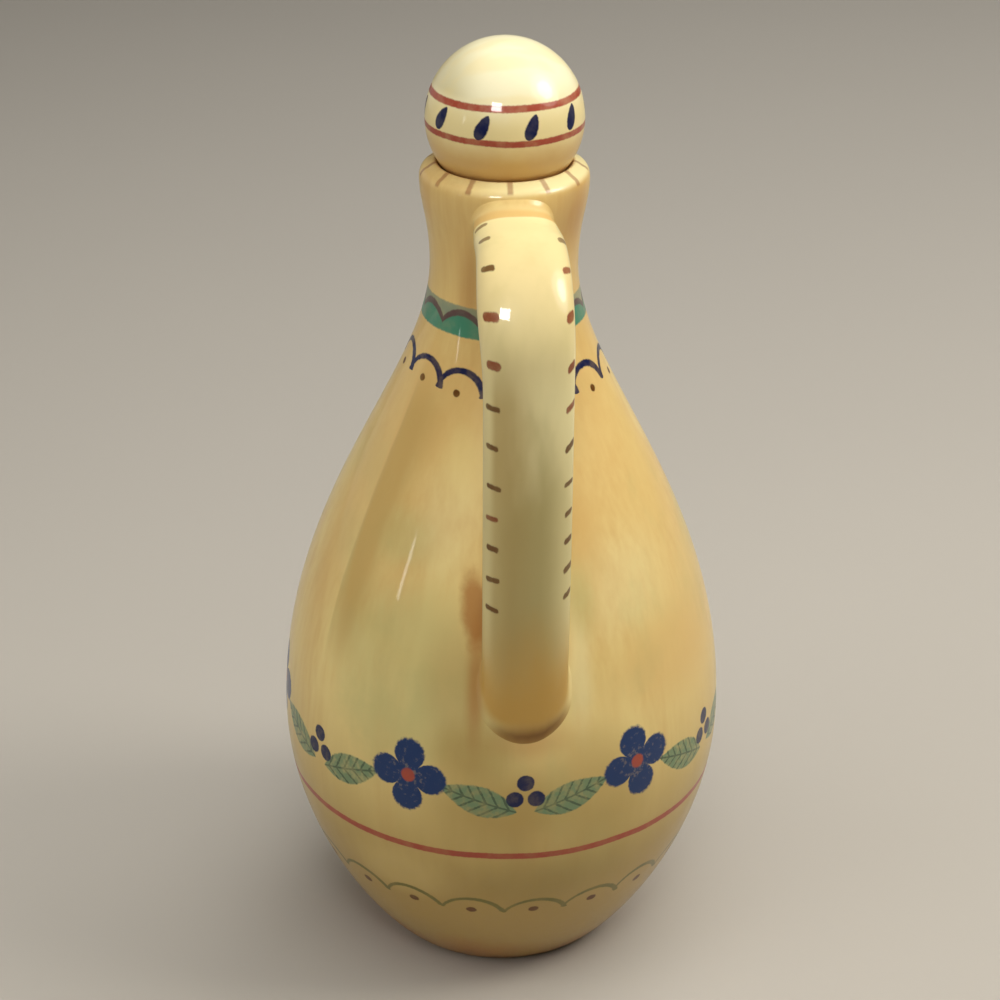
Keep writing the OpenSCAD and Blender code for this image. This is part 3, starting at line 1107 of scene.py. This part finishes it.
def paint_garland(work, c, bands):
    """A ring of four-petalled flowers with a pair of plain leaves and three berries between each two."""
    s = work.surface
    height = bands.flower_height / MM

    def turned_place(x, y, lean):
        """A place in axes that lean by an angle."""
        sine, cosine = math.sin(lean), math.cos(lean)
        return x * cosine + y * sine, y * cosine - x * sine

    # Leaves and berries in the middle between the flowers
    x, _, number = s.cell(bands.flowers)
    y = s.height - height + 4 + sway(number, 6, 1.5)
    for side in (-1, 1):
        along, across = turned_place(x * side - 9.8, y, 0.32)
        reach = along / 8.6
        blade = (1 - squared(reach)) * 3.5 * (1 - reach * 0.2)
        mask = ramp(blade - abs(across) + s.rough * 0.5, -0.1, 0.35) * near(abs(reach), 1, 0.04)
        work.lay(c.leaf, mask * s.pigment(420, 0.6) * 0.95)
        veins = operate("SINE", (along - abs(across) * 0.9) * 2.6 + s.drift * 4)
        strokes = most(ramp(veins + s.rough, 0.45, 0.95), near(abs(across) + s.rough * 0.1, 0.2, 0.12))
        work.lay(c.moss, mask * strokes * s.pigment(420, 0.5) * 0.75)
    for left, up in ((-2.2, 0.4), (2.2, 0.4), (0.0, 4.1)):
        away = root(squared(x - left) + squared(y - up)) + s.rough * 0.3
        work.lay(c.navy, near(away, 1.8, 0.15) * s.pigment(500, 0.9))

    # Flowers
    x, _, number = s.cell(bands.flowers, 0.5)
    x = x + sway(number, 7, 1.2)
    y = s.height - height + sway(number, 8, 1.5)
    bearing = operate("ARCTAN2", y, x) + sway(number, 9, 0.5)
    away = root(squared(x) + squared(y))
    petal = power(abs(operate("COSINE", bearing * 2)), 0.55)
    edge = 3.2 + petal * 5.2
    brush = noise(s.point, 900, 3, 0.65)
    mask = ramp(edge - away + s.rough * 1.1, -0.2, 0.6)
    shade = 0.78 + 0.22 * ramp(brush + away * 0.02, 0.35, 0.55)
    work.lay(c.blue, mask * shade)
    work.lay(c.brick, near(away + s.rough * 0.4, 1.5, 0.25) * s.pigment())


def paint_neck(work, c, bands):
    """Green band with a wavy line in it, and navy scallops with dots below."""
    s = work.surface
    low, high = bands.band_low / MM, bands.band_high / MM
    x, pitch, number = s.cell(bands.waves, -0.18)
    arch = power(abs(operate("COSINE", x / pitch * math.pi)), 0.75) + sway(number, 10, 0.15)
    wave = low + 2.1 + arch * 2.4 + s.drift
    inside = near(abs(s.height - (low + high) / 2 + s.drift * 0.8) + s.rough * 0.4, (high - low) / 2, 0.2)
    below = near(s.height, wave, 0.3)
    thin = s.pigment(180, 0.75)
    work.lay(c.sage, inside * thin * 0.9)
    work.lay(c.teal, inside * below * thin)
    work.lay(c.umber, near(abs(s.height - wave) + s.rough * 0.3, 0.68, 0.22) * s.pigment())
    foot = bands.neck_scallop_height / MM
    offset, lean = -0.16, 0.06
    work.scallops(
        c.navy, bands.neck_scallops, offset, foot - 1.8, half_width=5.4, rise=5.75, cut=1.45, stroke=1.22,
        lean=lean)
    work.dots(c.bark, bands.neck_scallops, offset, foot - 0.5, half_width=0.75, half_height=0.7, lean=lean)


def paint_lip(work, c, bands):
    """Short ticks across the lip."""
    s = work.surface
    x, _, number = s.cell(bands.lip_ticks, -0.09)
    x = x + sway(number, 11, 0.8)
    foot = LIP_RIM - 0.4 + chance(number, 12) * 1.2
    on_lip = ramp(s.height, foot, foot + 0.6) * ramp(s.radius, 12.2, 12.8)
    mask = near(abs(x) + s.rough * 0.3, 0.55, 0.25) * on_lip
    work.lay(c.russet, mask * 0.6 * s.pigment())
    # Glaze gathers where the ball sits, and its amber also stands as painted shade in the gap under the ball
    seat = near(s.radius, SEAT_RADIUS, 0.5) * ramp(s.height, LIP_RIM, LIP_RIM + 1)
    work.lay(c.amber, seat * 0.7)


def strap_finish(settings):
    """Cream glaze of the strap, with ticks along both edges, run into the bottle's glaze at both ends."""
    finish, tree, shader = new_finish("handle_glaze_painted")
    s = PotSurface(tree)
    c = settings.colours
    # Way along the strap, place on its section and height over the bottle
    gone, face, rise = split(Field(
        add_node(tree, "ShaderNodeAttribute", attribute_name="strap_place").outputs["Vector"]))
    gone, rise = gone * PER_METRE, rise * PER_METRE
    clouds = noise(stretched(s.point, z=0.3), 110, 3, 0.55)
    # A khaki wash down the middle of the upright run, gold at the lower end, and painted shade as a dark
    # crease round its tip
    middle = near(abs(s.across) + (clouds - 0.5) * 5, 5.5, 3) * ramp(face, 0, 0.6)
    khaki = ramp(gone + (clouds - 0.5) * 26, 44, 73) * (0.35 + 0.6 * middle)
    ground = blended(ramp(clouds, 0.45, 0.75) * 0.3, c.cream, c.wash)
    ground = blended(khaki, ground, c.khaki)
    ground = blended(ramp(gone + (clouds - 0.5) * 20, 88, 112) * 0.9, ground, c.gold)
    # The ends take on the bottle's glaze: the root as far as a clear edge, the lower end along its sides
    edge = s.radius + (clouds - 0.5) * 1.6
    ground = blended(near(abs(gone - 24), 12, 12) * 0.36, ground, c.ochre)
    ground = blended(near(edge, 22.4, 0.35) * (0.5 + 0.45 * ramp(edge, 17.5, 20)), ground, c.ochre)
    # Painted shade down the left half of the upright run, darker there as if lit from the right
    left_half_shade = ramp((clouds - 0.5) * 5 - s.across, -2.5, 5) * ramp(gone, 33, 48) * near(gone, 104, 8)
    left_half_shade = left_half_shade * (1 - 0.7 * ramp(-s.across, 6.3, 7.8))
    ground = blended(left_half_shade * (0.7 - 0.25 * ramp(gone, 58, 72)), ground, c.deep)
    low = ramp(gone, 84, 96)
    tip = ramp(s.across * 0.2 - s.height, -76, -70)
    ends = most(low * (1 - tip * 0.8), near(gone, 14, 4))
    ground = blended(near(rise, 0.9, 0.8) * ends, ground, glaze_ground(s, c))
    # Painted shade in the crease round the tip
    crease = near(abs(rise - 0.5 + (clouds - 0.5) * 1.5), 0.6, 0.9) * tip * low
    ground = blended(crease * 0.9, ground, c.toffee)
    work = Painting(s, ground)
    paint_strap_ticks(work, c, settings.handle, gone, face)
    finish_glaze(shader, s, work.colour)
    return finish


def paint_strap_ticks(work, c, sizes, gone, face):
    """Ticks along both edges of the strap, wide apart high up and closer low down. A few are broad dabs."""
    s = work.surface
    right = operate("GREATER_THAN", s.across, 0)
    # Pitch above and below the knee, and where the first tick and the knee are
    upper, lower = 8.26 - 0.69 * right, 6.58 - 0.55 * right
    first, knee = 22.1 + 0.7 * right, 63.4 + 6 * right
    steps = least(2 + (gone - first) / (7 + 1.2 * right), 2 + (gone - first) / upper)
    steps = most(steps, 7 + right + (gone - knee) / lower)
    number = operate("FLOOR", steps + 0.5)
    span = upper + (lower - upper) * operate("GREATER_THAN", gone, knee)
    seed = number + right * 40
    dab = near(abs(number - 3.5), 1.2, 0.5)
    # Way round the section: 0 in the middle of the outer face, about 8 at the edge
    girth = abs(s.across) - face * (sizes.strap_thickness / MM / 2)
    aside = girth - (4.5 + 1.1 * right + sway(seed, 14, 0.6))
    tilt = 0.1 + 0.25 * right + sway(seed, 17, 0.16)
    off = (steps - number) * span + sway(seed, 13, 0.4) + aside * tilt
    thick = 0.6 + 0.08 * right + 0.15 * dab + 0.35 * near(number, 1, 0.5) + sway(seed, 15, 0.15)
    reach = 2.0 - 0.3 * right + sway(seed, 18, 0.5)
    away = root(squared(most(abs(aside) - reach + thick, 0)) + squared(off)) + s.rough * 0.4
    stretch = ramp(gone, 5 + right * 5, 6 + right * 5) * near(gone, 92.5 - right * 4, 0.5)
    mask = near(away, thick, 0.2) * stretch * ramp(face, -0.8, -0.6)
    brown = ramp(abs(number - 3.5) - right + sway(seed, 16, 0.4), 0.7, 1.3)
    brown = brown * (1 - near(abs(number - 8), 0.4, 0.2) * (1 - right) * 0.8)
    tint = blended(brown, c.russet, c.bark)
    work.lay(tint, mask * s.pigment(400, 0.88) * (0.74 + 0.2 * ramp(number, 0.5, 2.5)))


def knob_finish(settings):
    """Cream ball with two brick-red lines and slanted navy dashes; the peg is bare fired clay."""
    finish, tree, shader = new_finish("stopper_glaze_painted")
    s = PotSurface(tree)
    c = settings.colours
    bands = settings.bands
    low, high = bands.ball_line_low / MM, bands.ball_line_high / MM
    clouds = noise(s.point, 120, 3, 0.55)
    ground = blended(near(s.height + (clouds - 0.5) * 5, high, 4) * 0.7, c.ivory, c.pale)
    lower = near(s.height + (clouds - 0.5) * 4, low - 1.5, 3)
    ground = blended(lower * 0.95, ground, c.ochre)
    # Amber round the foot of the ball: painted shade where it sits in the lip
    ground = blended(near(s.height, BALL_BASE, 2) * 0.5, ground, c.amber)
    # A thin greenish wash on the left of the dome, partly painted shade on that side
    side = noise(s.point, 45, 1) * 8 - s.across
    ground = blended(ramp(side, 8, 16) * ramp(s.height, high, high + 2) * 0.4, ground, c.khaki)
    # Brush strokes across the dome
    sweep = noise(stretched(s.point, x=0.3), 150, 2, 0.5)
    ground = blended(ramp(sweep, 0.45, 0.6) * ramp(s.height, high, high + 2) * 0.3, ground, c.pale)
    work = Painting(s, ground)
    for height in (low, high):
        work.line(c.brick, height, width=1.25, drift=0.7)
    between = (low + high) / 2 - 0.1
    work.dashes(c.navy, bands.ball_dashes, 0.38, between, half_width=1.35, half_height=2.6, lean=0.42)
    colour = blended(outside_only(tree), c.bisque, work.colour)
    colour = blended(near(s.height, PEG_TOP, 0.4), colour, c.bisque)
    finish_glaze(shader, s, colour)
    return finish


def sleeve_finish(settings):
    """Soft, milky, slightly dusty sleeve."""
    finish, tree, shader = new_finish("sleeve_soft")
    dust = ramp(noise(object_point(tree), 900, 3, 0.6), 0.45, 0.75)
    base = settings.colours.sleeve
    put(shader.inputs["Base Color"], blended(dust * 0.35, base, tuple(v * 0.8 for v in base)))
    put(shader.inputs["Roughness"], 0.38 + dust * 0.2)
    shader.inputs["IOR"].default_value = 1.41
    shader.inputs["Subsurface Weight"].default_value = 0.25
    shader.inputs["Subsurface Scale"].default_value = 1.5 * MM
    bump = add_node(tree, "ShaderNodeBump", {"Height": dust, "Strength": 0.1, "Distance": 0.1 * MM})
    put(shader.inputs["Normal"], Field(bump.outputs["Normal"]))
    return finish


def floor_finish(settings):
    """Plain pale table with a faint unevenness."""
    finish, tree, shader = new_finish("stage_floor")
    base = settings.stage.floor
    uneven = noise(object_point(tree), 9, 2) * 0.3
    put(shader.inputs["Base Color"], blended(uneven, base, tuple(v * 0.93 for v in base)))
    shader.inputs["Roughness"].default_value = 0.85
    shader.inputs["Specular IOR Level"].default_value = 0.0
    return finish


# Operators, one for each piece and one for the stage

class CRUET_OT_bottle(bpy.types.Operator):
    """Build the bottle"""
    bl_idname = "cruet.bottle"
    bl_label = "Bottle"

    def execute(self, context):
        settings = context.scene.cruet
        tree = bottle_tree(settings.bottle, bottle_finish(settings))
        piece = made_piece("bottle_painted", tree, settings.bottle)
        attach(piece, "bottle")
        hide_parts("bottle_body")
        return {"FINISHED"}


class CRUET_OT_handle(bpy.types.Operator):
    """Build the strap handle on the finished bottle"""
    bl_idname = "cruet.handle"
    bl_label = "Handle"

    def execute(self, context):
        settings = context.scene.cruet
        path = strap_path(settings.handle)
        tree = strap_tree(settings.handle, strap_finish(settings))
        helpers = {"Path": path, "Bottle": bpy.data.objects["bottle_painted"]}
        piece = made_piece("handle_painted", tree, settings.handle, helpers)
        bpy.data.objects.remove(path)
        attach(piece, "bottle")
        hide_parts("strap_handle")
        return {"FINISHED"}


class CRUET_OT_stopper(bpy.types.Operator):
    """Build the ball stopper"""
    bl_idname = "cruet.stopper"
    bl_label = "Stopper"

    def execute(self, context):
        settings = context.scene.cruet
        tree = knob_tree(settings.stopper, knob_finish(settings))
        piece = made_piece("stopper_painted", tree, settings.stopper)
        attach(piece, "stopper")
        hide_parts("stopper_knob")
        return {"FINISHED"}


class CRUET_OT_sleeve(bpy.types.Operator):
    """Build the soft sleeve of the stopper"""
    bl_idname = "cruet.sleeve"
    bl_label = "Sleeve"

    def execute(self, context):
        settings = context.scene.cruet
        tree = sleeve_tree(settings.stopper, sleeve_finish(settings))
        piece = made_piece("sleeve_finned", tree, settings.stopper)
        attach(piece, "stopper")
        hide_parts("stopper_seal")
        return {"FINISHED"}


class CRUET_OT_stage(bpy.types.Operator):
    """Set up the floor, the lights and the camera"""
    bl_idname = "cruet.stage"
    bl_label = "Stage"

    def execute(self, context):
        scene = context.scene
        settings = scene.cruet
        scene.view_settings.view_transform = "Standard"
        lay_floor(scene, floor_finish(settings))
        light_scene(scene, settings.stage)
        set_camera(scene, settings.stage)
        return {"FINISHED"}


# Half of the floor's width, wide enough to reach the top of the view
FLOOR_HALF = 30.0
# Middle of the ball, round which the lamps that follow the camera stand
BALL_MIDDLE = Vector((0, 0, 184 * MM))
WHITE_LIGHT = (1, 1, 1)
WARM_LIGHT = (1, 0.97, 0.92)
SURROUND_COLOUR, SURROUND_STRENGTH = (1.0, 0.98, 0.95, 1), 0.08
# Width of the sensor in millimetres, and the nearest that the camera sees
SENSOR_WIDTH = 36
NEAREST = 10 * MM


def lay_floor(scene, finish):
    """A wide floor at table height."""
    h = FLOOR_HALF
    mesh = bpy.data.meshes.new("stage_floor")
    mesh.from_pydata([(-h, -h, 0), (h, -h, 0), (h, h, 0), (-h, h, 0)], [], [(0, 1, 2, 3)])
    mesh.materials.append(finish)
    floor = bpy.data.objects.new("stage_floor", mesh)
    scene.collection.objects.link(floor)


def camera_axes(stage):
    """Right, up and forward of a level camera that is turned and tilted, before its roll."""
    turn, tilt = stage.camera_turn, stage.camera_tilt
    right = Vector((math.cos(turn), math.sin(turn), 0))
    forward = Vector((-math.sin(turn), math.cos(turn), 0)) * math.cos(tilt) + Vector((0, 0, -math.sin(tilt)))
    return right, right.cross(forward), forward


def add_area(scene, name, place, aim, size, power, shape, role, lean=0.0):
    """A soft lamp that looks from place at aim. A fill leaves no highlight, and a gleam leaves nothing else.

    A disk is warm, and lean turns the lamp about the way it looks.
    """
    lamp = bpy.data.lights.new(name, "AREA")
    lamp.shape = shape
    lamp.size, lamp.size_y = size
    lamp.energy = power
    lamp.color = WARM_LIGHT if shape == "DISK" else WHITE_LIGHT
    holder = bpy.data.objects.new(name, lamp)
    holder.location = place
    aimed = (Vector(aim) - Vector(place)).to_track_quat("-Z", "Y")
    holder.rotation_euler = (aimed @ Quaternion((0, 0, 1), lean)).to_euler()
    holder.visible_camera = False
    holder.visible_glossy = role != "fill"
    holder.visible_diffuse = role != "gleam"
    scene.collection.objects.link(holder)


def light_scene(scene, stage):
    """Four soft fills, one lamp that does both, and four gleams that show in the glaze."""
    world = bpy.data.worlds.new("stage_surround")
    world.use_nodes = True
    back = world.node_tree.nodes["Background"]
    back.inputs["Color"].default_value = SURROUND_COLOUR
    back.inputs["Strength"].default_value = SURROUND_STRENGTH
    scene.world = world
    right, up, forward = camera_axes(stage)

    def seen(sideways, upward, nearward, distance):
        """A place round the ball, as the camera sees it."""
        way = right * sideways + up * upward - forward * nearward
        return BALL_MIDDLE + way.normalized() * distance

    # Name, place, aim, width and height, power, shape, role, and lean if any
    lamps = (
        ("lamp_high", (0.1, -0.1, 0.8), (0, 0, 0.1), (1.0, 0.6), 4.55, "RECTANGLE", "fill"),
        ("lamp_back", (0.6, 0.6, 0.7), (0, 0, 0.1), (0.8, 0.8), 2.4, "RECTANGLE", "fill"),
        ("lamp_left", (-1.0, -0.15, 0.65), (0, 0, 0.1), (1.1, 1.1), 4.0, "RECTANGLE", "fill"),
        ("lamp_front", seen(0.0, 0.2, 0.978, 0.7), (0, 0, 0.14), (0.2, 0.2), 0.6, "RECTANGLE", "fill"),
        ("lamp_right", seen(0.787, 0.47, 0.397, 0.65), (0, 0, 0.14), (0.26, 0.26), 2.0, "DISK", "both"),
        ("lamp_halo", seen(0.787, 0.47, 0.397, 0.66), (0, 0, 0.14), (0.5, 0.5), 2.8, "DISK", "gleam"),
        ("lamp_camera", seen(-0.197, 0.075, 0.978, 0.5), (0, 0, 0.16), (0.12, 0.105), 1.6, "RECTANGLE",
         "gleam"),
        ("lamp_strip", (-0.66, -0.285, 0.234), (-0.02, -0.028, 0.11), (0.022, 0.124), 0.073, "RECTANGLE",
         "gleam", -0.2),
        ("lamp_wall", (-0.711, 0.687, 0.25), (0, 0, 0.2), (0.965, 0.5), 0.6, "RECTANGLE", "gleam"),
    )
    for lamp in lamps:
        add_area(scene, *lamp)


def set_camera(scene, stage):
    """Camera at the viewing angle of the photograph."""
    right, up, forward = camera_axes(stage)
    roll = stage.camera_roll
    tilted_right = right * math.cos(roll) + up * math.sin(roll)
    tilted_up = up * math.cos(roll) - right * math.sin(roll)
    view = Matrix((tilted_right, tilted_up, -forward)).transposed()
    view = Matrix.Rotation(stage.camera_aside, 3, up) @ view
    turn = stage.camera_turn
    away = stage.camera_distance
    place = Vector((away * math.sin(turn), -away * math.cos(turn), stage.camera_height))
    lens = bpy.data.cameras.new("stage_camera")
    lens.sensor_fit = "HORIZONTAL"
    lens.sensor_width = SENSOR_WIDTH
    lens.lens = stage.lens
    lens.clip_start = NEAREST
    camera = bpy.data.objects.new("stage_camera", lens)
    camera.matrix_world = Matrix.Translation(place) @ view.to_4x4()
    scene.collection.objects.link(camera)
    scene.camera = camera


class CRUET_PT_panel(bpy.types.Panel):
    """Lists the builders of the cruet"""
    bl_idname = "CRUET_PT_panel"
    bl_label = "Vinegar cruet"
    bl_space_type = "VIEW_3D"
    bl_region_type = "UI"
    bl_category = "Cruet"

    def draw(self, context):
        for builder in BUILDERS:
            self.layout.operator(builder.bl_idname)


GROUPS = (
    CruetBottleSizes, CruetHandleSizes, CruetStopperSizes, CruetColours, CruetBands, CruetStageSettings,
    CruetSettings
)
BUILDERS = (CRUET_OT_bottle, CRUET_OT_handle, CRUET_OT_stopper, CRUET_OT_sleeve, CRUET_OT_stage)
CLASSES = (*GROUPS, *BUILDERS, CRUET_PT_panel)


def register():
    """Adds the settings, the operators and the panel to Blender."""
    for kind in CLASSES:
        bpy.utils.register_class(kind)
    bpy.types.Scene.cruet = PointerProperty(type=CruetSettings)


def unregister():
    """Takes them out again."""
    del bpy.types.Scene.cruet
    for kind in reversed(CLASSES):
        bpy.utils.unregister_class(kind)


def main():
    """Builds every piece and the stage."""
    register()
    bpy.ops.cruet.bottle()
    bpy.ops.cruet.handle()
    bpy.ops.cruet.stopper()
    bpy.ops.cruet.sleeve()
    bpy.ops.cruet.stage()


if __name__ == "__main__":
    main()
